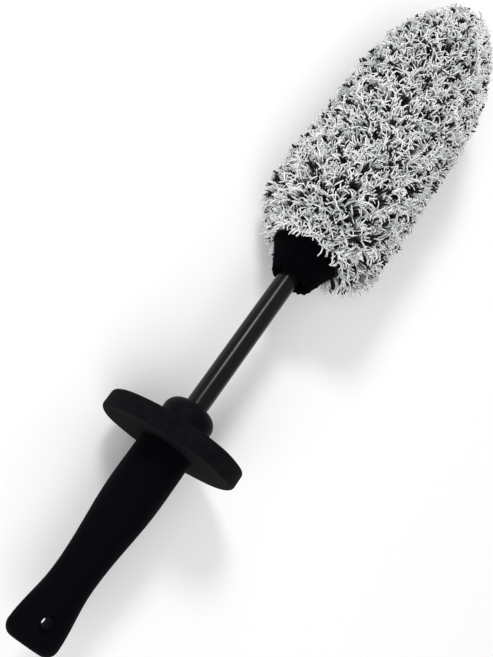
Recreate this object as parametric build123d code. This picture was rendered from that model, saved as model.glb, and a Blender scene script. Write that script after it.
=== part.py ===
from build123d import *
import os
from math import cos, pi, sin

# Wheel brush with a removable microfibre cover.
# The tool lies on its side: +X runs from the butt to the tip, +Z is up, and the
# surface that it lies on is Z = 0. The origin is under the middle of its length.
# All sizes are millimetres.

os.makedirs("parts", exist_ok=True)

# ---------------------------------------------------------------------------
# Driving dimensions
# ---------------------------------------------------------------------------

# Lengths along the tool, in order from the butt to the tip
grip_length = 115.0
guard_thickness = 11.0
collar_length = 16.0
bare_tube_length = 92.0
cuff_length = 18.0
pile_length = 208.0

# Grip: an oval that narrows to a waist and swells to a round front end
butt_width = 29.5
butt_depth = 20.0
butt_rounding = 6.0
waist_width = 23.3
waist_depth = 20.0
waist_from_butt = 37.0
front_diameter = 30.4
front_round_length = 23.0
rounding_steps = 4
grip_steps = 5

# Hard core inside the grip: a round bar with a flat tongue and a front flange
core_bar_diameter = 16.0
core_flange_diameter = 24.0
core_flange_thickness = 3.0
tongue_width = 17.0
tongue_depth = 9.0
tongue_from_butt = 5.0
tongue_length = 26.0
tongue_corner = 4.0

# Hang hole, through the flat of the butt
hang_hole_diameter = 6.0
hang_hole_from_butt = 13.6
hang_hole_lining = 1.5
hang_hole_flare = 2.0
flare_slope = 0.8

# Splash guard on the neck of the handle
guard_diameter = 81.0
guard_edge_rounding = 2.2
neck_diameter = 18.0
neck_grip_in_collar = 8.0

# Collar in front of the guard
collar_diameter = 29.6
collar_shoulder = 7.5

# Tube, and how deep it sits in the handle
tube_diameter = 12.7
tube_wall = 1.5
tube_depth_in_handle = 82.0
shaft_pin_diameter = 3.0
shaft_pin_from_neck = 28.0

# Head core: a moulded hub, a foam sleeve and a foam nose
core_diameter = 38.0
hub_setback = 2.0
hub_flange_thickness = 4.0
hub_boss_diameter = 18.0
hub_boss_length = 12.0
hub_pin_diameter = 2.5
pin_setback = 0.4
tube_end_from_tip = 45.0
plug_stem_length = 15.0
plug_head_diameter = 24.0
plug_head_thickness = 4.0
cushion_straight = 6.0

# Removable cover: two knitted panels, their pile and the seam between them
panel_thickness = 1.2
seam_thickness = 1.6
seam_height = 1.8
pile_base_diameter = 86.4
pile_front_diameter = 82.0
pile_base_rounding = 15.0
pile_tip_rounding = 60.0
pile_setback = 2.0

# Cuff: a gathered fabric funnel that ends in a rolled hem with elastic in it
mouth_diameter = 17.0
hem_diameter = 26.4
hem_width = 5.6
hem_rounding = 2.0
elastic_diameter = 2.4
thread_diameter = 0.8
hem_stitch_count = 24
hem_stitch_length = 2.3
join_stitch_count = 32
join_stitch_length = 2.7

# Clearances
side_gap = 0.3
cover_clearance = 0.3
guard_running_clearance = 0.05

# ---------------------------------------------------------------------------
# Stations along the tool, measured from the butt
# ---------------------------------------------------------------------------

guard_start = grip_length
grip_end = guard_start - side_gap
guard_end = guard_start + guard_thickness
collar_end = guard_end + collar_length
cuff_start = collar_end + bare_tube_length
cuff_end = cuff_start + cuff_length
tip = cuff_end + pile_length
neck_end = guard_end + neck_grip_in_collar
hub_start = cuff_end + hub_setback
hub_end = hub_start + hub_flange_thickness
tube_start = collar_end - tube_depth_in_handle
tube_end = tip - tube_end_from_tip
shaft_pin_station = grip_length - shaft_pin_from_neck
hub_pin_station = hub_start - hub_boss_length / 2
dome_centre = tube_end + cushion_straight

axis_height = guard_diameter / 2
core_radius = core_diameter / 2
tube_radius = tube_diameter / 2
neck_radius = neck_diameter / 2
panel_inner = core_radius + cover_clearance
panel_outer = panel_inner + panel_thickness
to_row_frame = Pos(-tip / 2, 0, axis_height)


# ---------------------------------------------------------------------------
# Shared shapes; the tool's axis is the X axis until a piece is saved
# ---------------------------------------------------------------------------


def rod(start, end, radius):
    """A round bar along the tool's axis."""
    return Pos((start + end) / 2, 0, 0) * Rot(0, 90, 0) * Cylinder(radius, end - start)


def sleeve(start, end, inner, outer):
    """A round tube along the tool's axis."""
    return rod(start, end, outer) - rod(start, end, inner)


def cross_pin(station, diameter, length):
    """A pin across the tool, along Y."""
    return Pos(station, 0, 0) * Rot(90, 0, 0) * Cylinder(diameter / 2, length)


def domed(start, centre, radius):
    """A round bar that ends in a half sphere."""
    ball = Pos(centre, 0, 0) * Sphere(radius) - rod(centre - 2 * radius, centre, 2 * radius)
    return rod(start, centre, radius) + ball


def oval(station, width, depth):
    """One oval section of the handle."""
    plane = Plane(origin=(station, 0, 0), x_dir=(0, 1, 0), z_dir=(1, 0, 0))
    return plane * Ellipse(width / 2, depth / 2)


def above(shape, height):
    """The part of a shape above a height over the tool's axis."""
    reach = 2 * tip
    return shape - Pos(0, 0, height - reach / 2) * Box(2 * reach, reach, reach)


def below(shape, height):
    """The part of a shape below a height over the tool's axis."""
    reach = 2 * tip
    return shape - Pos(0, 0, height + reach / 2) * Box(2 * reach, reach, reach)


def stitches(station, radius, count, length):
    """A ring of short threads that lie around the tool."""
    thread = Rot(90, 0, 0) * Cylinder(thread_diameter / 2, length)
    return [
        Pos(station, 0, 0) * Rot(360 * k / count, 0, 0) * Pos(0, 0, radius) * thread
        for k in range(count)
    ]


def save(name, *solids):
    """Place a piece in the part's own frame and write it."""
    placed = [to_row_frame * solid for solid in solids]
    export_step(placed[0] if len(placed) == 1 else Compound(placed), f"parts/{name}.step")


# ---------------------------------------------------------------------------
# Handle: a hard moulded core inside a soft skin
# ---------------------------------------------------------------------------


def eased(first, last, share):
    """A value that leaves one size gently and arrives at the next gently."""
    return first + (last - first) * (1 - cos(pi * share)) / 2


def butt_end():
    """The rounded end of the grip."""
    sections = []
    for step in range(rounding_steps + 1):
        turn = pi / 2 * step / rounding_steps
        cut_back = 2 * butt_rounding * (1 - sin(turn))
        station = butt_rounding * (1 - cos(turn))
        sections.append(oval(station, butt_width - cut_back, butt_depth - cut_back))
    return loft(sections)


def grip_body():
    """The waisted outside of the grip, oval at the butt and round in front."""
    front_start = grip_length - front_round_length
    waist = (waist_from_butt, waist_width, waist_depth)
    stretches = [
        ((butt_rounding, butt_width, butt_depth), waist),
        (waist, (front_start, front_diameter, front_diameter)),
    ]
    sections = [oval(butt_rounding, butt_width, butt_depth)]
    for first, last in stretches:
        for step in range(1, grip_steps + 1):
            share = step / grip_steps
            station = first[0] + (last[0] - first[0]) * share
            width = eased(first[1], last[1], share)
            depth = eased(first[2], last[2], share)
            sections.append(oval(station, width, depth))
    front = rod(front_start, grip_end, front_diameter / 2)
    return butt_end() + loft(sections) + front


def hang_hole_cut():
    """A straight hole through the butt with a flared rim on each flat."""
    radius = hang_hole_diameter / 2
    straight = butt_depth - 2 * hang_hole_flare
    flare_height = 2 * hang_hole_flare
    rim = Cone(radius, radius + flare_slope * flare_height, flare_height)
    upper = Pos(0, 0, (straight + flare_height) / 2) * rim
    hole = Cylinder(radius, straight) + upper + mirror(upper, Plane.XY)
    return Pos(hang_hole_from_butt, 0, 0) * hole


def core_blank():
    """The hard core before its socket is bored."""
    tongue_end = tongue_from_butt + tongue_length
    flange_start = grip_end - core_flange_thickness
    bar = rod(tongue_end - tongue_corner, grip_end, core_bar_diameter / 2)
    flange = rod(flange_start, grip_end, core_flange_diameter / 2)
    neck = rod(flange_start, neck_end, neck_radius)
    outline = RectangleRounded(tongue_length, tongue_width, tongue_corner)
    tongue = extrude(outline, tongue_depth / 2, both=True)
    tongue = Pos(tongue_from_butt + tongue_length / 2, 0, 0) * tongue
    lining_radius = hang_hole_diameter / 2 + hang_hole_lining
    lining = Pos(hang_hole_from_butt, 0, 0) * Cylinder(lining_radius, 2 * tongue_depth)
    return bar + flange + neck + tongue - lining


def make_handle_core():
    return core_blank() - rod(tube_start, tip, tube_radius) - make_shaft_pin()


def make_grip():
    return grip_body() - core_blank() - hang_hole_cut()


def make_front_collar():
    """A turned nose with a rounded shoulder, pushed onto the neck."""
    radius = collar_diameter / 2
    start = guard_end + side_gap
    outline = Polyline(
        (start, 0), (start, radius), (collar_end - collar_shoulder, radius)
    )
    shoulder = RadiusArc(
        outline @ 1, (collar_end, radius - collar_shoulder), collar_shoulder
    )
    closing = Polyline(shoulder @ 1, (collar_end, 0), (start, 0))
    nose = revolve(make_face(Curve() + [outline, shoulder, closing]), Axis.X, 360)
    return nose - rod(0, neck_end, neck_radius) - rod(0, tip, tube_radius)


def make_splash_guard():
    """A disc of thick foam that turns on the neck of the handle."""
    disc = rod(guard_start, guard_end, guard_diameter / 2)
    disc = fillet(disc.edges().filter_by(GeomType.CIRCLE), guard_edge_rounding)
    return disc - rod(0, tip, neck_radius + guard_running_clearance)


# ---------------------------------------------------------------------------
# Tube and the pins that hold it
# ---------------------------------------------------------------------------


def make_shaft_pin():
    length = core_bar_diameter - 2 * pin_setback
    return cross_pin(shaft_pin_station, shaft_pin_diameter, length)


def make_hub_pin():
    length = hub_boss_diameter - 2 * pin_setback
    return cross_pin(hub_pin_station, hub_pin_diameter, length)


def make_shaft_tube():
    tube = sleeve(tube_start, tube_end, tube_radius - tube_wall, tube_radius)
    return tube - make_shaft_pin() - make_hub_pin()


# ---------------------------------------------------------------------------
# Head core
# ---------------------------------------------------------------------------


def make_core_hub():
    """The moulded flange that the foam sleeve seats on."""
    boss = rod(hub_start - hub_boss_length, hub_start, hub_boss_diameter / 2)
    flange = rod(hub_start, hub_end, core_radius)
    return boss + flange - rod(0, tip, tube_radius) - make_hub_pin()


def make_foam_core():
    return sleeve(hub_end, tube_end, tube_radius, core_radius)


def make_tip_plug():
    """A headed plug that closes the end of the tube."""
    stem = rod(tube_end - plug_stem_length, tube_end, tube_radius - tube_wall)
    return stem + rod(tube_end, tube_end + plug_head_thickness, plug_head_diameter / 2)


def make_tip_cushion():
    """The foam nose, with a pocket for the plug's head."""
    nose = domed(tube_end, dome_centre, core_radius)
    return nose - rod(tube_end, tube_end + plug_head_thickness, plug_head_diameter / 2)


# ---------------------------------------------------------------------------
# Removable cover
# ---------------------------------------------------------------------------


def panel_shell():
    """Both knitted panels as one skin with a round end."""
    outer = domed(cuff_end, dome_centre, panel_outer)
    return outer - domed(cuff_end, dome_centre, panel_inner)


def make_cover_seam():
    """A seam that runs up one side of the cover, over its end and back."""
    inner = panel_outer
    outer = panel_outer + seam_height

    def bent_strip(radius):
        straight = Pos((cuff_end + pile_setback + dome_centre) / 2, 0) * Rectangle(
            dome_centre - cuff_end - pile_setback, 2 * radius
        )
        return straight + Pos(dome_centre, 0) * Circle(radius)

    strip = extrude(bent_strip(outer) - bent_strip(inner), seam_thickness / 2, both=True)
    return strip - rod(0, dome_centre, inner) - Pos(dome_centre, 0, 0) * Sphere(inner)


def pile_shell():
    """The whole pile: a long barrel with a rounded base and a long rounded tip."""
    start = cuff_end + pile_setback
    base_radius = pile_base_diameter / 2
    front_radius = pile_front_diameter / 2
    shoulder = start + pile_base_rounding
    front = tip - pile_tip_rounding
    base = EllipticalCenterArc(
        (shoulder, panel_outer), pile_base_rounding, base_radius - panel_outer, 90, arc_size=90
    )
    side = Line((shoulder, base_radius), (front, front_radius))
    nose = EllipticalCenterArc((front, 0), pile_tip_rounding, front_radius, 0, arc_size=90)
    closing = Polyline((tip, 0), (start, 0), (start, panel_outer))
    barrel = revolve(make_face(Curve() + [base, side, nose, closing]), Axis.X, 360)
    barrel = above(barrel, -axis_height)
    return barrel - domed(0, dome_centre, panel_outer)


def make_cuff(elastic):
    """A funnel of cloth whose mouth is rolled round the elastic."""
    hem_outer, hem_inner = hem_diameter / 2, mouth_diameter / 2
    hem = Pos(cuff_start + hem_width / 2, (hem_outer + hem_inner) / 2) * RectangleRounded(
        hem_width, hem_outer - hem_inner, hem_rounding
    )
    start = cuff_start + hem_width / 2
    middle = (start + cuff_end) / 2
    sag = (panel_outer - hem_outer) / 8
    middle_radius = (panel_outer + hem_outer) / 2 - sag
    outer = ThreePointArc(
        (start, hem_outer), (middle, middle_radius), (cuff_end, panel_outer)
    )
    inner = ThreePointArc(
        (cuff_end, panel_inner),
        (middle, middle_radius - panel_thickness),
        (start, hem_outer - panel_thickness),
    )
    closing = [Line(outer @ 1, inner @ 0), Line(inner @ 1, outer @ 0)]
    funnel = make_face(Curve() + [outer, inner] + closing)
    return revolve(funnel + hem, Axis.X, 360) - elastic


def make_cuff_elastic():
    ring_radius = (hem_diameter + mouth_diameter) / 4
    ring = Torus(ring_radius, elastic_diameter / 2)
    return Pos(cuff_start + hem_width / 2, 0, 0) * Rot(0, 90, 0) * ring


# ---------------------------------------------------------------------------
# Write every piece
# ---------------------------------------------------------------------------

save("handle_core", make_handle_core())
save("grip", make_grip())
save("front_collar", make_front_collar())
save("splash_guard", make_splash_guard())
save("shaft_tube", make_shaft_tube())
save("shaft_pin", make_shaft_pin())
save("hub_pin", make_hub_pin())
save("core_hub", make_core_hub())
save("foam_core", make_foam_core())
save("tip_plug", make_tip_plug())
save("tip_cushion", make_tip_cushion())

panels = panel_shell()
save("panel_upper", above(panels, 0))
save("panel_lower", below(panels, 0))
save("cover_seam", make_cover_seam())

pile = pile_shell()
save("pile_upper", above(pile, seam_thickness / 2))
save("pile_lower", below(pile, -seam_thickness / 2))

cuff_elastic = make_cuff_elastic()
save("cuff", make_cuff(cuff_elastic))
save("cuff_elastic", cuff_elastic)

hem_threads = stitches(
    cuff_start + hem_width / 2, hem_diameter / 2, hem_stitch_count, hem_stitch_length
)
save("cuff_hem_stitching", *hem_threads)

join_threads = stitches(cuff_end, panel_outer, join_stitch_count, join_stitch_length)
save("cuff_join_stitching", *join_threads)
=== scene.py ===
from math import cos, pi, radians, sin

import bpy
import numpy as np
from mathutils import Matrix, Vector


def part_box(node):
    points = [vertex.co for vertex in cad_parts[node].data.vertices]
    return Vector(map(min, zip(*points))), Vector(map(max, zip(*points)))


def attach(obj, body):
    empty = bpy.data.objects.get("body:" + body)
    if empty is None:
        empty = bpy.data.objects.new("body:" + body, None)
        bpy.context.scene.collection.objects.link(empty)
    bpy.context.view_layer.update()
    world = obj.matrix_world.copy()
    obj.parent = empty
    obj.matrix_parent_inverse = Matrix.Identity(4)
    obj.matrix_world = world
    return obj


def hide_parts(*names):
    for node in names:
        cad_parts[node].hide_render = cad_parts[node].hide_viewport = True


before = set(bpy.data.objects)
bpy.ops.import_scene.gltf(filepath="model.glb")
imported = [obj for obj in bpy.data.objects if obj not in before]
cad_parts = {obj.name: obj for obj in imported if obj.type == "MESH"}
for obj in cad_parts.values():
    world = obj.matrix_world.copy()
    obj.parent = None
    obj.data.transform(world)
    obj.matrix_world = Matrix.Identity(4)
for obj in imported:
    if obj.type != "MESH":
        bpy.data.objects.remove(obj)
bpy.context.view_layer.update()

# ============================================================================
# Camera
# It looks down at the brush from behind the grip, with the tip further away
# and the tool leaning to the right across an upright picture.
# ============================================================================

guard_low, guard_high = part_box("splash_guard")
axis_height = (guard_low.z + guard_high.z) / 2

camera_distance = 0.488
aim_point = Vector((-0.0347, 0.0024, axis_height - 0.0011))
lean_to_side = radians(-17.5)
lean_to_grip = radians(-20.6)
picture_turn = radians(-54.27)
camera_turn = (
    Matrix.Rotation(lean_to_side, 4, "X")
    @ Matrix.Rotation(lean_to_grip, 4, "Y")
    @ Matrix.Rotation(picture_turn, 4, "Z")
)
camera_place = aim_point + camera_turn.to_3x3() @ Vector((0, 0, camera_distance))

camera_data = bpy.data.cameras.new("camera")
camera_data.lens = 48.6
camera_data.sensor_width = 36.0
camera_data.clip_start = 0.02
camera_data.clip_end = 20.0
camera = bpy.data.objects.new("camera", camera_data)
camera.matrix_world = Matrix.Translation(camera_place) @ camera_turn
bpy.context.scene.collection.objects.link(camera)
bpy.context.scene.camera = camera

# ============================================================================
# Grip
# A soft black rubber skin moulded over the hard core. It is matte, with a
# fine stipple from an etched mould, and has a flared hole to hang it by.
# ============================================================================


def add_node(tree, kind, values=None, **settings):
    """Adds a shader node; values fill its inputs, with numbers or from sockets."""
    node = tree.nodes.new(kind)
    for name, value in settings.items():
        setattr(node, name, value)
    for name, value in (values or {}).items():
        if isinstance(value, bpy.types.NodeSocket):
            tree.links.new(value, node.inputs[name])
        else:
            node.inputs[name].default_value = value
    return node


def new_group(name, inputs, outputs):
    """A node group with named number inputs; returns it and its two end nodes."""
    group = bpy.data.node_groups.new(name, "ShaderNodeTree")
    for label in inputs:
        group.interface.new_socket(label, in_out="INPUT", socket_type="NodeSocketFloat")
    for label in outputs:
        group.interface.new_socket(label, in_out="OUTPUT", socket_type="NodeSocketFloat")
    return group, add_node(group, "NodeGroupInput"), add_node(group, "NodeGroupOutput")


def new_finish(name, **values):
    """A material and its Principled shader, with the shader's plain values set."""
    material = bpy.data.materials.new(name)
    material.use_nodes = True
    shader = material.node_tree.nodes["Principled BSDF"]
    for label, value in values.items():
        shader.inputs[label.replace("_", " ")].default_value = value
    return material, material.node_tree, shader


def between(tree, share, low, high):
    """A number that goes from low to high as share goes from 0 to 1."""
    values = {"Value": share, "To Min": low, "To Max": high}
    return add_node(tree, "ShaderNodeMapRange", values).outputs["Result"]


def blended(tree, share, first, second):
    """A colour that goes from first to second as share goes from 0 to 1."""
    values = {0: share, 6: first, 7: second}
    return add_node(tree, "ShaderNodeMix", values, data_type="RGBA").outputs[2]


def give_relief(tree, shader, height, depth):
    """Raises the surface by a height pattern; depth is in metres."""
    bump = add_node(tree, "ShaderNodeBump", {"Height": height, "Distance": depth})
    tree.links.new(bump.outputs["Normal"], shader.inputs["Normal"])


def repaint(material, *names):
    """Gives CAD pieces a material in place of their plain one."""
    for name in names:
        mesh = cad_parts[name].data
        mesh.materials.clear()
        mesh.materials.append(material)


def make_grain_group():
    """Moulded or foamed texture: fine grain and large soft patches, sizes in metres."""
    group, given, result = new_group(
        "surface grain", ("Grain Size", "Patch Size"), ("Height", "Patches")
    )
    place = add_node(group, "ShaderNodeTexCoord").outputs["Object"]
    for size, output, detail in (("Grain Size", "Height", 3.0), ("Patch Size", "Patches", 4.0)):
        per_metre = add_node(
            group, "ShaderNodeMath", {0: 1.0, 1: given.outputs[size]}, operation="DIVIDE"
        )
        pattern = add_node(
            group,
            "ShaderNodeTexNoise",
            {"Vector": place, "Scale": per_metre.outputs[0], "Detail": detail},
        )
        group.links.new(pattern.outputs["Fac"], result.inputs[output])
    return group


def make_rubbed_group():
    """Wear on convex edges: a mask where a wide bevel would turn the surface most."""
    group, given, result = new_group("rubbed edges", ("Width", "Amount"), ("Mask",))
    bevel = add_node(group, "ShaderNodeBevel", {"Radius": given.outputs["Width"]}, samples=4)
    true_normal = add_node(group, "ShaderNodeNewGeometry").outputs["Normal"]
    turn = add_node(
        group,
        "ShaderNodeVectorMath",
        {0: bevel.outputs[0], 1: true_normal},
        operation="DOT_PRODUCT",
    )
    edge = add_node(
        group,
        "ShaderNodeMapRange",
        {"Value": turn.outputs["Value"], "From Min": 0.99, "From Max": 0.8},
    )
    place = add_node(group, "ShaderNodeTexCoord").outputs["Object"]
    patches = add_node(group, "ShaderNodeTexNoise", {"Vector": place, "Scale": 700.0})
    broken = add_node(
        group,
        "ShaderNodeMapRange",
        {"Value": patches.outputs["Fac"], "From Min": 0.42, "From Max": 0.6},
    )
    worn = add_node(
        group,
        "ShaderNodeMath",
        {0: edge.outputs[0], 1: broken.outputs[0]},
        operation="MULTIPLY",
    )
    mask = add_node(
        group,
        "ShaderNodeMath",
        {0: worn.outputs[0], 1: given.outputs["Amount"]},
        operation="MULTIPLY",
    )
    group.links.new(mask.outputs[0], result.inputs["Mask"])
    return group


surface_grain = make_grain_group()
rubbed_edges = make_rubbed_group()


def add_grain(tree, grain_size, patch_size):
    """The outputs of the surface grain, with these sizes in metres."""
    sizes = {"Grain Size": grain_size, "Patch Size": patch_size}
    return add_node(tree, "ShaderNodeGroup", sizes, node_tree=surface_grain).outputs


def colour_and_roughen(tree, shader, shade, rough_by, smoothest, roughest):
    """Gives a shader its colour, and a roughness that follows a pattern."""
    tree.links.new(shade, shader.inputs["Base Color"])
    rough = between(tree, rough_by, smoothest, roughest)
    tree.links.new(rough, shader.inputs["Roughness"])


def moulded_finish(name, colour, worn_colour, roughness, gloss, grain_size, grain_depth, wear):
    """Moulded rubber or plastic: etched grain, faint patches and rubbed edges."""
    material, tree, shader = new_finish(name, Specular_IOR_Level=gloss)
    grain = add_grain(tree, grain_size, patch_size=0.018)
    rubbed = add_node(
        tree, "ShaderNodeGroup", {"Width": 0.0008, "Amount": wear}, node_tree=rubbed_edges
    )
    paler = tuple(1.35 * c for c in colour[:3]) + (1.0,)
    base = blended(tree, grain["Patches"], colour, paler)
    shade = blended(tree, rubbed.outputs["Mask"], base, worn_colour)
    unevenly = 0.07
    colour_and_roughen(
        tree, shader, shade, grain["Patches"], roughness - unevenly, roughness + unevenly
    )
    give_relief(tree, shader, grain["Height"], grain_depth)
    return material


grip_rubber = moulded_finish(
    name="grip rubber",
    colour=(0.0009, 0.0011, 0.0022, 1),
    worn_colour=(0.008, 0.0085, 0.011, 1),
    roughness=0.72,
    gloss=0.03,
    grain_size=0.00035,
    grain_depth=0.00006,
    wear=0.5,
)
repaint(grip_rubber, "grip")

# ============================================================================
# Hard core of the handle and the steel cross pins
# A black glass-filled moulding inside the grip, with the neck that the guard
# turns on. Ground steel pins go through it, and through the hub of the head.
# ============================================================================

core_plastic = moulded_finish(
    name="core plastic",
    colour=(0.008, 0.008, 0.009, 1),
    worn_colour=(0.04, 0.04, 0.042, 1),
    roughness=0.45,
    gloss=0.3,
    grain_size=0.0006,
    grain_depth=0.00003,
    wear=0.6,
)
repaint(core_plastic, "handle_core")


def ground_steel_finish():
    """Steel ground across its length, with fine scratches."""
    material, tree, shader = new_finish("pin steel", Metallic=1.0)
    grain = add_grain(tree, grain_size=0.0002, patch_size=0.004)
    shade = blended(tree, grain["Patches"], (0.5, 0.5, 0.51, 1), (0.66, 0.66, 0.67, 1))
    colour_and_roughen(tree, shader, shade, grain["Height"], 0.25, 0.42)
    give_relief(tree, shader, grain["Height"], depth=0.00001)
    return material


repaint(ground_steel_finish(), "shaft_pin", "hub_pin")

# ============================================================================
# Front collar
# A turned black plastic nose, pushed onto the neck to keep the guard on. Its
# shoulder is round and its surface is satin.
# ============================================================================

collar_plastic = moulded_finish(
    name="collar plastic",
    colour=(0.002, 0.0022, 0.0036, 1),
    worn_colour=(0.012, 0.012, 0.015, 1),
    roughness=0.55,
    gloss=0.06,
    grain_size=0.0005,
    grain_depth=0.00004,
    wear=0.6,
)
repaint(collar_plastic, "front_collar")

# ============================================================================
# Splash guard
# A disc die-cut from 11 mm closed-cell foam, pushed over the neck. It stops
# water that runs down the tube. The foam leans a little and isn't quite flat.
# ============================================================================

guard_radius = (guard_high.y - guard_low.y) / 2
guard_bore_radius = 0.00905
guard_edge_rounding = 0.0022
lean_across = radians(-2.4)
lean_back = radians(3.0)
lean_roll = radians(-17.5)
guard_held_radius = 0.0165
guard_waviness = 0.00025
guard_swell = 0.004


def new_piece(name, points, faces, material):
    """A smooth mesh piece from an array of points and the corners of each face."""
    mesh = bpy.data.meshes.new(name)
    corners = [[int(corner) for corner in face] for face in faces]
    mesh.from_pydata(points.reshape(-1, 3).tolist(), [], corners)
    mesh.polygons.foreach_set("use_smooth", [True] * len(mesh.polygons))
    mesh.materials.append(material)
    piece = bpy.data.objects.new(name, mesh)
    bpy.context.scene.collection.objects.link(piece)
    return piece


def grid_faces(rows, columns, rows_close, columns_close):
    """Four-sided faces over a grid of points, joined up where it closes."""
    row = np.arange(rows if rows_close else rows - 1)[:, None]
    column = np.arange(columns if columns_close else columns - 1)[None, :]
    next_row, next_column = (row + 1) % rows, (column + 1) % columns
    corners = [
        row * columns + column,
        row * columns + next_column,
        next_row * columns + next_column,
        next_row * columns + column,
    ]
    return np.stack(corners, axis=-1).reshape(-1, 4)


def turned_points(outline, angles):
    """An outline of (x, radius) swept round the tool's axis."""
    x, radius = outline[:, 0][:, None], outline[:, 1][:, None]
    across = radius * np.cos(angles)[None, :]
    up = radius * np.sin(angles)[None, :] + axis_height
    return np.stack([x + 0 * across, across, up], axis=-1)


def full_turn(count):
    """Evenly spaced angles once round."""
    return np.linspace(0, 2 * pi, count, endpoint=False)


def corner_arc(centre_x, centre_radius, size, start, end, count=7):
    """An arc of an outline, with its angles in degrees from +X towards larger radius."""
    turn = np.radians(np.linspace(start, end, count))
    return np.column_stack([centre_x + size * np.cos(turn), centre_radius + size * np.sin(turn)])


def straight(start, end, count):
    """A straight stretch of an outline, without its last point."""
    return np.linspace(start, end, count, endpoint=False)


def unevenness(points, size, seed):
    """A smooth field between about -1 and 1 that changes over this size."""
    draw = np.random.default_rng(seed)
    field = np.zeros(points.shape[:-1])
    for _ in range(8):
        direction = draw.normal(size=3)
        direction *= 2 * pi / (np.linalg.norm(direction) * size * draw.uniform(0.7, 1.7))
        field += np.sin(points @ direction + draw.uniform(0, 2 * pi))
    return field / 4


def foam_finish(name, dark, pale, cell_size, cell_depth):
    """Closed-cell foam: tiny broken cells and a faint mottle."""
    material, tree, shader = new_finish(name, Specular_IOR_Level=0.05)
    grain = add_grain(tree, cell_size, patch_size=0.006)
    place = add_node(tree, "ShaderNodeTexCoord").outputs["Object"]
    cells = add_node(tree, "ShaderNodeTexVoronoi", {"Vector": place, "Scale": 1 / cell_size})
    mottle = add_node(
        tree,
        "ShaderNodeMath",
        {0: grain["Height"], 1: grain["Patches"]},
        operation="MULTIPLY",
    )
    share = add_node(
        tree,
        "ShaderNodeMapRange",
        {"Value": mottle.outputs[0], "From Min": 0.1, "From Max": 0.42},
    )
    shade = blended(tree, share.outputs[0], dark, pale)
    colour_and_roughen(tree, shader, shade, grain["Patches"], 0.82, 0.98)
    give_relief(tree, shader, cells.outputs["Distance"], cell_depth)
    return material


def make_splash_guard():
    """The foam disc, flat where the neck holds it and leaning further out."""
    back, front = guard_low.x, guard_high.x
    edge = guard_edge_rounding
    rim = guard_radius - edge
    outline = np.vstack(
        [
            straight((back, guard_bore_radius), (back, rim), 22),
            corner_arc(back + edge, rim, edge, 180, 90),
            corner_arc(front - edge, rim, edge, 90, 0),
            straight((front, rim - 0.001), (front, guard_bore_radius), 22),
            straight((front, guard_bore_radius), (back, guard_bore_radius), 5),
        ]
    )
    points = turned_points(outline, full_turn(240))
    out = points - np.array([0, 0, axis_height])
    radius = np.hypot(out[..., 1], out[..., 2])
    free = np.clip((radius - guard_held_radius) / (guard_radius - guard_held_radius), 0, 1)
    across = cos(lean_roll) * out[..., 1] + sin(lean_roll) * out[..., 2]
    upward = cos(lean_roll) * out[..., 2] - sin(lean_roll) * out[..., 1]
    points[..., 0] += (np.tan(lean_across) * across - np.tan(lean_back) * upward) * free
    points[..., 0] += guard_waviness * free * unevenness(points, 0.03, 3)
    swell = 1 + guard_swell * free * unevenness(points, 0.025, 4) - guard_swell * free
    points[..., 1] *= swell
    points[..., 2] = axis_height + (points[..., 2] - axis_height) * swell
    points[..., 2] = np.maximum(points[..., 2], 0)
    faces = grid_faces(*points.shape[:2], True, True)
    return new_piece("splash_guard_foam", points, faces, guard_foam)


guard_foam = foam_finish(
    name="guard foam",
    dark=(0.0018, 0.002, 0.003, 1),
    pale=(0.0066, 0.007, 0.0086, 1),
    cell_size=0.0005,
    cell_depth=0.00018,
)
splash_guard = make_splash_guard()
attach(splash_guard, "guard")
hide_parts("splash_guard")

# ============================================================================
# Tube
# A straight 12.7 mm metal tube with a baked gloss black coat, so slightly
# orange-peeled that only its highlight shows it.
# ============================================================================


def gloss_coat_finish():
    """Gloss black baked coat: faint orange peel, and fine scratches along the tube."""
    material, tree, shader = new_finish(
        "gloss black coat", Coat_Weight=0.05, Coat_Roughness=0.2, Specular_IOR_Level=0.13
    )
    peel = add_grain(tree, grain_size=0.0016, patch_size=0.03)
    shade = blended(tree, peel["Patches"], (0.004, 0.004, 0.0045, 1), (0.008, 0.008, 0.009, 1))
    tree.links.new(shade, shader.inputs["Base Color"])
    place = add_node(tree, "ShaderNodeTexCoord").outputs["Object"]
    drawn_out = add_node(tree, "ShaderNodeMapping", {"Vector": place, "Scale": (30, 2500, 2500)})
    scratches = add_node(
        tree, "ShaderNodeTexNoise", {"Vector": drawn_out.outputs[0], "Scale": 1.0, "Detail": 2.0}
    )
    rough = add_node(
        tree,
        "ShaderNodeMapRange",
        {
            "Value": scratches.outputs["Fac"],
            "From Min": 0.45,
            "From Max": 0.8,
            "To Min": 0.22,
            "To Max": 0.31,
        },
    )
    tree.links.new(rough.outputs[0], shader.inputs["Roughness"])
    give_relief(tree, shader, peel["Height"], depth=0.000004)
    return material


repaint(gloss_coat_finish(), "shaft_tube")

# ============================================================================
# Core of the head
# A moulded hub is pinned on the tube, and a foam sleeve is glued on up to
# the tube's plugged end. A foam nose covers the plug. The cover hides it all.
# ============================================================================

repaint(core_plastic, "core_hub", "tip_plug")

core_foam = foam_finish(
    name="core foam",
    dark=(0.022, 0.022, 0.025, 1),
    pale=(0.06, 0.06, 0.066, 1),
    cell_size=0.0009,
    cell_depth=0.0003,
)
tube_low, tube_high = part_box("shaft_tube")
tube_radius = (tube_high.y - tube_low.y) / 2
skin_size = 0.018


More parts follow.
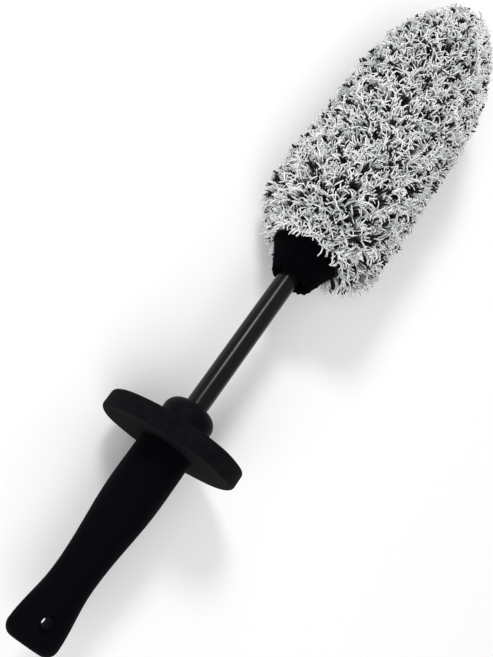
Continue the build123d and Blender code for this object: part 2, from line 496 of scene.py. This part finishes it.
def make_foam_sleeve():
    """The foam tube between the hub and the nose, a little uneven on its outside."""
    low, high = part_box("foam_core")
    radius, edge = high.y, 0.0008
    outline = np.vstack(
        [
            straight((low.x, tube_radius), (low.x, radius - edge), 6),
            corner_arc(low.x + edge, radius - edge, edge, 180, 90),
            straight((low.x + 2 * edge, radius), (high.x - 2 * edge, radius), 80),
            corner_arc(high.x - edge, radius - edge, edge, 90, 0),
            straight((high.x, radius - 2 * edge), (high.x, tube_radius), 6),
            straight((high.x, tube_radius), (low.x, tube_radius), 4),
        ]
    )
    points = turned_points(outline, full_turn(96))
    settle = np.clip(outline[:, 1] - tube_radius, 0, radius) / radius
    shrink = 1 - 0.008 * settle[:, None] * (1 + unevenness(points, skin_size, 11))
    points[..., 1] *= shrink
    points[..., 2] = axis_height + (points[..., 2] - axis_height) * shrink
    return new_piece("foam_sleeve", points, grid_faces(*points.shape[:2], True, True), core_foam)


def make_foam_nose():
    """The foam dome, with the pocket that holds the plug's head."""
    low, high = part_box("tip_cushion")
    plug_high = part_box("tip_plug")[1]
    radius = high.y
    outline = np.vstack(
        [
            straight((low.x, plug_high.y), (low.x, radius), 5),
            straight((low.x, radius), (high.x - radius, radius), 5),
            corner_arc(high.x - radius, 0, radius, 90, 0, 26),
            straight((plug_high.x, 0), (plug_high.x, plug_high.y), 6),
            straight((plug_high.x, plug_high.y), (low.x, plug_high.y), 3),
        ]
    )
    outline[:, 1] = np.maximum(outline[:, 1], 0.00001)
    points = turned_points(outline, full_turn(96))
    shrink = 1 - 0.004 * (1 + unevenness(points, skin_size, 12))
    points[..., 1] *= shrink
    points[..., 2] = axis_height + (points[..., 2] - axis_height) * shrink
    return new_piece("foam_nose", points, grid_faces(*points.shape[:2], True, True), core_foam)


for piece, node in ((make_foam_sleeve(), "foam_core"), (make_foam_nose(), "tip_cushion")):
    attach(piece, "handle")
    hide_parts(node)

# ============================================================================
# Knitted panels
# Two black knitted panels, sewn together along both sides, carry the pile.
# They are pulled tight over the foam as a sock is.
# ============================================================================

panel_low, panel_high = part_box("panel_upper")
panel_radius = panel_high.y
panel_thickness = 0.0011
dome_centre = panel_high.x - panel_radius
rib_pitch = 0.0017


def make_knit_group():
    """Knitted cloth: ribs along the tool, crossed by rows of stitches."""
    group, given, result = new_group("knit", ("Pitch",), ("Height",))
    place = add_node(group, "ShaderNodeTexCoord").outputs["Object"]
    part = add_node(group, "ShaderNodeSeparateXYZ", {0: place})
    up = add_node(
        group, "ShaderNodeMath", {0: part.outputs["Z"], 1: axis_height}, operation="SUBTRACT"
    )
    turn = add_node(
        group, "ShaderNodeMath", {0: part.outputs["Y"], 1: up.outputs[0]}, operation="ARCTAN2"
    )
    round_tool = add_node(
        group, "ShaderNodeMath", {0: turn.outputs[0], 1: panel_radius}, operation="MULTIPLY"
    )
    waves = []
    for distance in (round_tool.outputs[0], part.outputs["X"]):
        count = add_node(
            group, "ShaderNodeMath", {0: distance, 1: given.outputs["Pitch"]}, operation="DIVIDE"
        )
        angle = add_node(
            group, "ShaderNodeMath", {0: count.outputs[0], 1: 2 * pi}, operation="MULTIPLY"
        )
        wave = add_node(group, "ShaderNodeMath", {0: angle.outputs[0]}, operation="SINE")
        waves.append(wave.outputs[0])
    height = add_node(group, "ShaderNodeMath", {0: waves[0], 1: waves[1]}, operation="ADD")
    group.links.new(height.outputs[0], result.inputs["Height"])
    return group


knit = make_knit_group()


def cloth_finish(name, dark, pale, pitch, depth, sheen):
    """Black knitted cloth with a soft nap."""
    material, tree, shader = new_finish(
        name, Sheen_Weight=sheen, Sheen_Roughness=0.5, Specular_IOR_Level=0.02
    )
    loops = add_node(tree, "ShaderNodeGroup", {"Pitch": pitch}, node_tree=knit)
    fuzz = add_grain(tree, grain_size=0.0004, patch_size=0.008)
    shade = blended(tree, fuzz["Patches"], dark, pale)
    colour_and_roughen(tree, shader, shade, fuzz["Height"], 0.85, 1.0)
    relief = add_node(
        tree, "ShaderNodeMath", {0: loops.outputs["Height"], 1: fuzz["Height"]}, operation="ADD"
    )
    give_relief(tree, shader, relief.outputs[0], depth)
    return material


panel_cloth = cloth_finish(
    name="panel knit",
    dark=(0.004, 0.004, 0.005, 1),
    pale=(0.009, 0.009, 0.011, 1),
    pitch=rib_pitch,
    depth=0.00012,
    sheen=0.1,
)


def make_panel(name, side):
    """Half of the cover's cloth; side is +1 for the upper half and -1 for the lower."""
    outline = np.vstack(
        [
            straight((panel_low.x, panel_radius), (dome_centre, panel_radius), 90),
            corner_arc(dome_centre, 0, panel_radius, 90, 2, 24),
        ]
    )
    points = turned_points(outline, side * np.linspace(0, pi, 60))
    faces = grid_faces(*points.shape[:2], False, False)[:, ::side]
    panel = new_piece(name, points, faces, panel_cloth)
    thickness = panel.modifiers.new("thickness", "SOLIDIFY")
    thickness.thickness = panel_thickness
    thickness.offset = -1.0
    return panel


panels = [make_panel("knit_panel_upper", 1), make_panel("knit_panel_lower", -1)]

for piece, node in zip(panels, ("panel_upper", "panel_lower")):
    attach(piece, "cover")
    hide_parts(node)

# ============================================================================
# Cover seam
# The panels' edges are overlocked together into a narrow rib that runs along
# both sides of the head and over its tip, wrapped in black thread.
# ============================================================================

seam_low, seam_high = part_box("cover_seam")
seam_height = seam_high.y - panel_radius
seam_width = seam_high.z - seam_low.z


def seam_path(radius, along):
    """Points and outward directions along the seam, at this distance from the axis."""
    side = dome_centre - seam_low.x
    total = 2 * side + pi * radius
    run = along * total
    turn = np.clip((run - side) / radius, 0, pi)
    forward = np.where(run < side, run, np.where(run > total - side, total - run, side))
    outward = np.stack([np.sin(turn), np.cos(turn), 0 * turn], axis=-1)
    centre = np.stack([seam_low.x + forward, 0 * run, 0 * run + axis_height], axis=-1)
    return centre + radius * outward, outward


def unit(vectors):
    """Vectors of the same directions and of length 1."""
    return vectors / np.linalg.norm(vectors, axis=-1, keepdims=True)


def strand_points(paths, thickness, sides, across=None):
    """Rings of points round each path; thickness is the radius at each of its points."""
    along = unit(np.gradient(paths, axis=1))
    if across is None:
        whole = unit(paths[:, -1:] - paths[:, :1])
        across = np.cross(whole, [0.31, 0.82, -0.48])
    across = unit(across - (across * along).sum(-1, keepdims=True) * along)
    other = np.cross(along, across)
    turn = full_turn(sides)[None, None, :, None]
    ring = np.cos(turn) * across[:, :, None] + np.sin(turn) * other[:, :, None]
    return paths[:, :, None] + thickness[..., None, None] * ring


def strand_layout(wall, count, steps, sides):
    """A flat layout of every strand's faces, each strand in its own cell of a grid."""
    corner_u = np.tile([0, 1, 1, 0], len(wall)).reshape(-1, 4) + wall[:, :1] % sides
    corner_v = np.tile([0, 0, 1, 1], len(wall)).reshape(-1, 4) + wall[:, :1] // sides
    wall_u, wall_v = corner_u.ravel() / sides, corner_v.ravel() / (steps - 1)
    turn = full_turn(sides)
    cap_u, cap_v = 0.5 + 0.3 * np.cos(turn), 0.5 + 0.3 * np.sin(turn)
    u = np.concatenate([0.04 + 0.92 * wall_u, 0.45 * cap_u[::-1], 0.5 + 0.45 * cap_u])
    v = np.concatenate([0.04 + 0.72 * wall_v, 0.8 + 0.18 * cap_v, 0.8 + 0.18 * cap_v])
    cells = int(np.ceil(np.sqrt(count)))
    cell = np.arange(count)
    all_u = (u[None] + (cell % cells)[:, None]) / cells
    all_v = (v[None] + (cell // cells)[:, None]) / cells
    return np.stack([all_u, all_v], axis=-1)


def strand_piece(name, paths, thickness, material, sides, across=None):
    """Many closed strands as one piece, along these paths."""
    rings = strand_points(paths, thickness, sides, across)
    count, steps = paths.shape[:2]
    wall = grid_faces(steps, sides, False, True).reshape(-1, 4)
    walls = wall[None] + (np.arange(count) * steps * sides)[:, None, None]
    first = np.arange(sides)[::-1][None] + (np.arange(count) * steps * sides)[:, None]
    last = np.arange(sides)[None] + ((np.arange(count) + 1) * steps * sides - sides)[:, None]
    loops = np.concatenate([walls.reshape(count, -1), first, last], axis=1)
    sizes = np.concatenate([np.full(len(wall), 4), [sides, sides]])
    sizes = np.tile(sizes, count)

    mesh = bpy.data.meshes.new(name)
    mesh.vertices.add(count * steps * sides)
    mesh.vertices.foreach_set("co", rings.astype(np.float32).ravel())
    mesh.loops.add(loops.size)
    mesh.loops.foreach_set("vertex_index", loops.astype(np.int32).ravel())
    mesh.polygons.add(len(sizes))
    starts = np.concatenate([[0], np.cumsum(sizes)[:-1]])
    mesh.polygons.foreach_set("loop_start", starts.astype(np.int32))
    mesh.polygons.foreach_set("use_smooth", np.ones(len(sizes), bool))
    mesh.update(calc_edges=True)

    layout = mesh.uv_layers.new(name="OFBake")
    places = strand_layout(wall, count, steps, sides)
    layout.data.foreach_set("uv", places.astype(np.float32).ravel())

    mesh.materials.append(material)
    piece = bpy.data.objects.new(name, mesh)
    bpy.context.scene.collection.objects.link(piece)
    return piece


def thread_finish():
    """Twisted polyester thread."""
    material, tree, shader = new_finish("black thread", Specular_IOR_Level=0.04)
    fuzz = add_grain(tree, grain_size=0.00025, patch_size=0.003)
    dark, pale = (0.0007, 0.0008, 0.0016, 1), (0.0018, 0.0019, 0.003, 1)
    shade = blended(tree, fuzz["Patches"], dark, pale)
    colour_and_roughen(tree, shader, shade, fuzz["Height"], 0.5, 0.75)
    give_relief(tree, shader, fuzz["Height"], depth=0.00006)
    return material


black_thread = thread_finish()


def make_seam_rib():
    """The squared rib of folded edges, closed at both ends."""
    steps, sides = 260, 12
    centre, outward = seam_path(panel_radius + seam_height / 2, np.linspace(0, 1, steps))
    turn = full_turn(sides)
    squared = np.sign(np.cos(turn)) * np.abs(np.cos(turn)) ** 0.6
    flat = np.sign(np.sin(turn)) * np.abs(np.sin(turn)) ** 0.6
    up = np.array([0, 0, 1.0])
    points = (
        centre[:, None]
        + 0.46 * seam_height * squared[None, :, None] * outward[:, None]
        + 0.42 * seam_width * flat[None, :, None] * up
    )
    points += 0.0001 * unevenness(points, 0.006, 21)[..., None] * up
    first_end, last_end = range(sides)[::-1], range((steps - 1) * sides, steps * sides)
    faces = [*grid_faces(steps, sides, False, True), first_end, last_end]
    return new_piece("seam_rib", points, faces, panel_cloth)


def make_overlock_thread():
    """One thread that winds round the rib from end to end."""
    turns, steps_a_turn = 170, 8
    steps = turns * steps_a_turn
    along = np.linspace(0.003, 0.997, steps)
    centre, outward = seam_path(panel_radius + seam_height / 2, along)
    turn = 2 * pi * turns * along[:, None]
    up = np.array([0, 0, 1.0])
    away = 0.5 * seam_height * np.cos(turn) * outward + 0.46 * seam_width * np.sin(turn) * up
    path = centre + away
    thickness = np.full((1, steps), 0.00019)
    return strand_piece("overlock_thread", path[None], thickness, black_thread, 5, away[None])


for piece, slot_name in ((make_seam_rib(), "panel_knit"), (make_overlock_thread(), "black_thread")):
    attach(piece, "cover")
    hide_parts("cover_seam")

# ============================================================================
# Cuff
# A black cloth funnel sewn to the panels' back edges. Its mouth is a rolled
# hem that elastic gathers round the tube, so it hangs a little to one side.
# ============================================================================

cuff_low, cuff_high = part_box("cuff")
cuff_length = cuff_high.x - cuff_low.x
hem_roll = 0.0023
hem_radius = tube_radius + 0.0065
hem_centre_x = cuff_low.x + hem_roll
hem_centre_radius = hem_radius - hem_roll
hem_turned_in = 0.0078
join_radius = panel_radius - 0.0001
mouth_shift = 0.0016
cuff_thickness = 0.0007
elastic_radius = 0.00112


def cuff_wall_radius(x):
    """The funnel's radius at x, before the cloth is gathered."""
    share = (x - hem_centre_x) / (cuff_high.x - hem_centre_x)
    return hem_radius + (join_radius - hem_radius) * share


def cuff_place(x, radius, normal_x, normal_radius, angle):
    """Where gathered cloth is, from where it would be on a plain funnel."""
    near_mouth = np.clip((cuff_high.x - x) / cuff_length, 0, 1)
    waves = np.sin(18 * angle + 1.1 * np.sin(3 * angle)) + 0.4 * np.sin(31 * angle + 2)
    gather = (0.00006 + 0.0003 * near_mouth**2) * waves
    lump = 0.00035 * near_mouth * (np.sin(2 * angle + 0.7) + 0.6 * np.sin(5 * angle))
    out = radius + gather * normal_radius + lump
    across = out * np.cos(angle) - mouth_shift * near_mouth
    up = out * np.sin(angle) + axis_height
    return np.stack([x + gather * normal_x + 0 * across, across, up], axis=-1)


def make_cuff():
    """The funnel, from the end that is turned in, round the hem and out to the join."""
    inner_end = (cuff_low.x + hem_turned_in, hem_radius - 0.0006)
    wall_start = hem_centre_x + 0.0008
    outline = np.vstack(
        [
            straight(inner_end, (hem_centre_x + 0.0006, hem_centre_radius - hem_roll), 10),
            corner_arc(hem_centre_x, hem_centre_radius, hem_roll, 270, 90, 15),
            straight((wall_start, cuff_wall_radius(wall_start)), (cuff_high.x, join_radius), 26),
            [(cuff_high.x, join_radius)],
        ]
    )
    tangent = unit(np.gradient(outline, axis=0))
    x, radius = outline[:, 0][:, None], outline[:, 1][:, None]
    normal_x, normal_radius = -tangent[:, 1][:, None], tangent[:, 0][:, None]
    points = cuff_place(x, radius, normal_x, normal_radius, full_turn(288)[None])
    cuff = new_piece("cuff_cloth", points, grid_faces(*points.shape[:2], False, True), cuff_cloth)
    thickness = cuff.modifiers.new("thickness", "SOLIDIFY")
    thickness.thickness = cuff_thickness
    thickness.offset = -1.0
    return cuff


def make_elastic():
    """A round elastic in the roll of the hem, nearly smooth."""
    angle = np.append(full_turn(144), 2 * pi)
    path = cuff_place(hem_centre_x, hem_centre_radius, 0, 0, angle)[:-1]
    outward = path - np.array([0, -mouth_shift, axis_height])
    outward[:, 0] = 0
    outward = unit(outward)
    turn = full_turn(10)
    sideways = np.array([1.0, 0, 0])
    size = elastic_radius + 0.00004 * np.sin(60 * angle[:-1])[:, None, None]
    points = path[:, None] + size * (
        np.cos(turn)[None, :, None] * outward[:, None] + np.sin(turn)[None, :, None] * sideways
    )
    return new_piece("hem_elastic", points, grid_faces(144, 10, True, True)[:, ::-1], elastic_rubber)


cuff_cloth = cloth_finish(
    name="cuff cloth",
    dark=(0.0005, 0.0006, 0.0014, 1),
    pale=(0.0013, 0.0014, 0.0026, 1),
    pitch=0.0008,
    depth=0.00008,
    sheen=0.004,
)
elastic_rubber = moulded_finish(
    name="elastic",
    colour=(0.03, 0.03, 0.032, 1),
    worn_colour=(0.06, 0.06, 0.06, 1),
    roughness=0.7,
    gloss=0.2,
    grain_size=0.0006,
    grain_depth=0.00005,
    wear=0.2,
)
hem_elastic = make_elastic()
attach(hem_elastic, "cover")
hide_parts("cuff_elastic")


def make_stitches(name, x, angles, lean, length):
    """Round-ended stitches lying in the cloth of the cuff, centred at x."""
    half = length / 2 * np.linspace(-1, 1, 9)
    turn = np.asarray(angles)[:, None] + half * cos(lean) / cuff_wall_radius(x)
    place_x = x + 0 * turn + half * sin(lean)
    rise = 0.00022 * np.cos(pi * half / length)
    radius = cuff_wall_radius(np.minimum(place_x, cuff_high.x)) + rise
    paths = cuff_place(place_x, radius, 0, 1, turn)
    thickness = 0.00038 * np.sqrt(1 - np.linspace(-0.97, 0.97, 9) ** 2)
    across = paths - np.array([0, 0, axis_height])
    across[..., 0] = 0
    return strand_piece(name, paths, np.tile(thickness, (len(turn), 1)), black_thread, 6, across)


hem_stitches = make_stitches(
    "hem_stitches", cuff_low.x + 0.0064, full_turn(24), lean=0.0, length=0.0023
)
join_stitches = make_stitches(
    "join_stitches", cuff_high.x - 0.0002, full_turn(32) + 0.05, lean=radians(60), length=0.0027
)
for piece, node in ((hem_stitches, "cuff_hem_stitching"), (join_stitches, "cuff_join_stitching")):
    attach(piece, "cover")
    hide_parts(node)

cuff = make_cuff()
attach(cuff, "cover")
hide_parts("cuff")

# ============================================================================
# Pile
# Cut microfibre strands, looped through the panels in small tufts. Most are
# white and pale grey, and among them stand thicker tufts of black ones.
# ============================================================================

pile_low, pile_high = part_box("pile_upper")
pile_radius = pile_high.y
front_radius = 0.95 * pile_radius
pile_tip = pile_high.x
tip_rounding = 0.072
tip_combed_over = 0.012
skirt_width = 0.011
hanging_back = 0.001
base_rounding = 0.027
outline_unevenness = 0.035
longest_tuft = 0.075

first_ring = 0.0015
ring_spacing = 0.0039
tufts_round = 68
tufts_on_dome = 330
golden_turn = pi * (3 - 5**0.5)
root_scatter = 0.0005
turn_scatter = 0.015
direction_waves = 0.07
direction_scatter = 0.07
lean_back_at_base = 0.7
combed_back_length = 0.034
lean_on_at_tip = 0.45
combed_on_from = 0.150
combed_on_length = 0.05
one_black_in = 5
black_patch_level = 1.2
white_share = 0.72

curl_steps = 4
strand_shape = np.array([0.8, 0.9, 1.0, 1.05, 1.0, 0.95, 0.75])
strand_steps = len(strand_shape)
strand_sides = 4
lowest_strand = 0.0005
pressed_layer = 0.004
pressed_give = 0.02
draw = np.random.default_rng(208)


def pile_reach(points):
    """How far the pile stands from the axis where these points are, as an uneven outline."""
    left = points[:, 1] / np.maximum(np.hypot(points[:, 1], points[:, 2]), 0.001)
    base = pile_low.x - hanging_back * (1 - np.clip(left, 0, 1))
    shoulder = base + base_rounding
    front = pile_tip - tip_rounding
    x = points[:, 0] + tip_combed_over * np.clip(-left, 0, 1)
    taper = np.clip((x - shoulder) / (front - shoulder), 0, 1)
    reach = pile_radius + (front_radius - pile_radius) * taper
    from_base = np.clip((shoulder - x) / base_rounding, 0, 1)
    from_tip = np.clip((x - front) / tip_rounding, 0, 1)
    tufted = 1 + outline_unevenness * unevenness(points, 0.016, 41)
    return reach * tufted * np.sqrt(1 - from_base**2) * np.sqrt(1 - from_tip**1.75)


def grow(roots, directions):
    """How long each tuft is when its end reaches the pile's outline."""
    short, long = np.zeros(len(roots)), np.full(len(roots), longest_tuft)
    for _ in range(24):
        middle = (short + long) / 2
        end = roots + middle[:, None] * directions
        distance = np.hypot(end[:, 1], end[:, 2])
        within = distance < pile_reach(end)
        within &= end[:, 0] < pile_tip
        short = np.where(within, middle, short)
        long = np.where(within, long, middle)
    return short


def plant_tufts():
    """Roots and directions of all tufts, measured from the tool's axis."""
    rings = np.arange(pile_low.x + first_ring, dome_centre, ring_spacing)
    x, angle = np.meshgrid(rings, full_turn(tufts_round), indexing="ij")
    ring, place = np.indices(x.shape)
    angle = angle + (ring % 2) * pi / tufts_round
    x = (x + draw.normal(0, root_scatter, x.shape)).ravel()
    angle = (angle + draw.normal(0, turn_scatter, angle.shape)).ravel()
    normal = np.stack([0 * x, np.cos(angle), np.sin(angle)], axis=-1)
    centre = np.stack([x, 0 * x, 0 * x], axis=-1)

    turn = np.arange(tufts_on_dome) * golden_turn
    height = (np.arange(tufts_on_dome) + 0.5) / tufts_on_dome
    flat = np.sqrt(1 - height**2)
    dome_normal = np.stack([height, flat * np.cos(turn), flat * np.sin(turn)], axis=-1)
    dome_middle = np.tile([dome_centre, 0, 0], (tufts_on_dome, 1))

    normals = np.vstack([normal, dome_normal])
    roots = np.vstack([centre, dome_middle]) + panel_radius * normals

    from_base = pile_low.x + combed_back_length - roots[:, 0]
    near_base = np.clip(from_base / combed_back_length, 0, 1)
    near_tip = np.clip((roots[:, 0] - combed_on_from) / combed_on_length, 0, 1)
    back_here = lean_back_at_base * (1 - 0.5 * np.clip(normals[:, 1], 0, 1))
    lean = -back_here * near_base**1.5 + lean_on_at_tip * near_tip
    waves = np.stack([unevenness(roots, 0.028, seed) for seed in (31, 32, 33)], axis=-1)
    scatter = draw.normal(0, direction_scatter, roots.shape)
    directions = normals + direction_waves * waves + scatter
    directions[:, 0] += lean
    order = np.concatenate([(2 * ring + place).ravel(), np.arange(tufts_on_dome)])
    in_patch = unevenness(roots, 0.009, 34) > black_patch_level
    is_black = (order % one_black_in == 0) ^ in_patch
    return roots, unit(directions), is_black


def fibre_finish(name, painted_root_shade, dull, bright, sheen):
    """Microfibre strands: painted shade darkens them towards the root, and each has its own tone."""
    material, tree, shader = new_finish(
        name, Sheen_Weight=sheen, Sheen_Roughness=0.4, Specular_IOR_Level=0.25
    )
    tone = add_node(tree, "ShaderNodeAttribute", attribute_name="tone").outputs["Fac"]
    along = add_node(tree, "ShaderNodeAttribute", attribute_name="along").outputs["Fac"]
    fuzz = add_grain(tree, grain_size=0.0003, patch_size=0.02)
    own = blended(tree, tone, dull, bright)
    # painted shade: near the root each strand takes the painted root shade colour, and it reaches
    # its own tone only further out along it
    light = add_node(
        tree,
        "ShaderNodeMapRange",
        {"Value": along, "From Min": 0.2, "From Max": 0.62},
    )
    shade = blended(tree, light.outputs[0], painted_root_shade, own)
    colour_and_roughen(tree, shader, shade, fuzz["Height"], 0.7, 0.95)
    give_relief(tree, shader, fuzz["Height"], depth=0.00012)
    return material


def comb_strands(roots, directions, per_tuft, thickness, fray, open_up, bunch):
    """All strands of some tufts, which stand together and fray: paths, widths and tufts."""
    reach = grow(roots, directions) * draw.uniform(0.88, 1.03, len(roots))
    in_skirt = roots[:, 0] < pile_low.x + skirt_width
    reach *= np.where(in_skirt, draw.uniform(0.5, 1.0, len(roots)), 1.0)
    which = np.repeat(np.arange(len(roots)), per_tuft)
    count = len(which)
    heading = unit(directions[which] + draw.normal(0, bunch, (count, 3)))
    aside = draw.normal(size=(count, 3)) * [1.7, 1, 1]
    aside = unit(aside - (aside * heading).sum(-1, keepdims=True) * heading)
    other = np.cross(heading, aside)

    end_length = fray * draw.uniform(0.7, 1.2, count)
    opening = open_up * draw.uniform(0.25, 1.0, count)
    twist = draw.normal(0, 0.9, count)
    rise = end_length * np.sin(opening) / opening
    stem = reach[which] * draw.uniform(0.9, 1.03, count) - rise
    stem = np.maximum(stem, 0.3 * reach[which])

    start = roots[which] + draw.normal(0, root_scatter, (count, 3))
    paths = [start, start + 0.55 * stem[:, None] * heading, start + stem[:, None] * heading]
    for step in range(curl_steps):
        bend = (opening * (step + 0.5) / curl_steps)[:, None]
        sway = (twist * (step + 0.5) / curl_steps)[:, None]
        sideways = np.cos(sway) * aside + np.sin(sway) * other
        onward = np.cos(bend) * heading + np.sin(bend) * sideways
        paths.append(paths[-1] + (end_length / curl_steps)[:, None] * onward)
    paths = np.stack(paths, axis=1)

    paths[..., 2] += axis_height
    level = lowest_strand + draw.uniform(0, pressed_layer, (count, 1))
    height = paths[..., 2]
    height = np.where(height < level, level + pressed_give * (height - level), height)
    paths[..., 2] = np.maximum(height, lowest_strand)
    width = thickness * draw.uniform(0.85, 1.15, (count, 1)) * strand_shape
    return paths, width, which


def white_tones(which):
    """The tone of each strand: its tuft's own, white or pale grey, and a little of its own."""
    tufts = which.max() + 1
    tuft_tones = np.where(
        draw.random(tufts) < white_share,
        draw.uniform(0.7, 1.0, tufts),
        draw.uniform(0.0, 0.45, tufts),
    )
    return np.clip(tuft_tones[which] + draw.normal(0, 0.14, len(which)), 0, 1)


def add_tones(piece, tones):
    """Gives each strand its tone, and how far along it each point is."""
    along = np.tile(np.repeat(np.linspace(0, 1, strand_steps), strand_sides), len(tones))
    own = np.repeat(tones, strand_steps * strand_sides)
    for name, values in (("tone", own), ("along", along)):
        layer = piece.data.attributes.new(name, "FLOAT", "POINT")
        layer.data.foreach_set("value", values.astype(np.float32))


# Both fibres carry painted shade towards their roots, set by their painted root shade colours.
white_fibre = fibre_finish(
    name="white microfibre",
    painted_root_shade=(0.042, 0.043, 0.046, 1),
    dull=(0.55, 0.57, 0.58, 1),
    bright=(0.93, 0.94, 0.93, 1),
    sheen=0.12,
)
black_fibre = fibre_finish(
    name="black microfibre",
    painted_root_shade=(0.002, 0.002, 0.003, 1),
    dull=(0.003, 0.003, 0.004, 1),
    bright=(0.007, 0.007, 0.009, 1),
    sheen=0.02,
)
roots, directions, is_black = plant_tufts()
sector = (np.arctan2(directions[:, 2], directions[:, 1]) // radians(60)).astype(int) + 3
for number in range(6):
    chosen = (sector == number) & ~is_black
    paths, width, which = comb_strands(
        roots[chosen],
        directions[chosen],
        per_tuft=draw.integers(5, 8, chosen.sum()),
        thickness=0.00042,
        fray=0.0085,
        open_up=1.9,
        bunch=0.05,
    )
    name = f"pile_white_{number + 1}"
    piece = strand_piece(name, paths, width, white_fibre, strand_sides)
    add_tones(piece, white_tones(which))
    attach(piece, "cover")
    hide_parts("pile_upper", "pile_lower")
for number in range(2):
    chosen = (sector // 3 == number) & is_black
    paths, width, _ = comb_strands(
        roots[chosen],
        directions[chosen],
        per_tuft=draw.integers(5, 8, chosen.sum()),
        thickness=0.0006,
        fray=0.006,
        open_up=1.2,
        bunch=0.05,
    )
    name = f"pile_black_{number + 1}"
    piece = strand_piece(name, paths, width, black_fibre, strand_sides)
    add_tones(piece, draw.random(len(paths)))
    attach(piece, "cover")
    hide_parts("pile_upper", "pile_lower")

# ============================================================================
# Floor and light
# A white table top that runs out of sight, under one large soft light above
# and behind the grip, and a small one that draws the line along the tube.
# ============================================================================

floor_height = -0.0003


def make_floor():
    """A flat white disc, just under the brush."""
    distance = np.array([0.0001, 0.3, 0.8, 2.0, 8.0])[:, None]
    angle = full_turn(48)[None]
    height = 0 * distance * angle + floor_height
    points = np.stack([distance * np.cos(angle), distance * np.sin(angle), height], axis=-1)
    material, tree, shader = new_finish("table top", Specular_IOR_Level=0.1)
    grain = add_grain(tree, grain_size=0.003, patch_size=0.4)
    shade = blended(tree, grain["Patches"], (0.9, 0.9, 0.9, 1), (0.93, 0.93, 0.93, 1))
    colour_and_roughen(tree, shader, shade, grain["Height"], 0.85, 0.95)
    return new_piece("table_top", points, grid_faces(5, 48, False, True), material)


def add_area_light(name, direction, distance, size, power):
    """A round soft light that faces the brush from this direction."""
    data = bpy.data.lights.new(name, "AREA")
    data.shape = "DISK"
    data.size = size
    data.energy = power
    light = bpy.data.objects.new(name, data)
    toward = Vector(direction).normalized()
    light.location = aim_point + distance * toward
    light.rotation_euler = toward.to_track_quat("Z", "Y").to_euler()
    bpy.context.scene.collection.objects.link(light)
    return light


def line_light_direction():
    """Where a light must be to draw its line a little left of the tube's middle."""
    to_camera = camera_turn.to_3x3() @ Vector((0, 0, 1))
    facing = Vector((0, to_camera.y, to_camera.z)).normalized()
    left = facing.cross(Vector((1, 0, 0)))
    off_middle = radians(10.4)
    normal = facing * cos(off_middle) + left * sin(off_middle)
    return 2 * normal.dot(to_camera) * normal - to_camera


def make_surroundings():
    """Dim, even light from all round, which the camera sees as a white wall."""
    world = bpy.data.worlds.new("room")
    world.use_nodes = True
    tree = world.node_tree
    tree.nodes.clear()
    lit = add_node(tree, "ShaderNodeBackground", {"Color": (1, 1, 1, 1), "Strength": 0.5})
    seen = add_node(tree, "ShaderNodeBackground", {"Color": (1, 1, 1, 1), "Strength": 0.97})
    choice = add_node(tree, "ShaderNodeLightPath").outputs["Is Camera Ray"]
    mixed = add_node(tree, "ShaderNodeMixShader", {0: choice, 1: lit.outputs[0], 2: seen.outputs[0]})
    add_node(tree, "ShaderNodeOutputWorld", {"Surface": mixed.outputs[0]})
    bpy.context.scene.world = world


table_top = make_floor()
overhead = add_area_light(
    "overhead softbox", (-0.6, 0.12, 0.8), distance=5.0, size=5.2, power=150.0
)
line_light = add_area_light(
    "line light", line_light_direction(), distance=1.5, size=0.32, power=8.5
)
make_surroundings()
bpy.context.scene.view_settings.view_transform = "Standard"
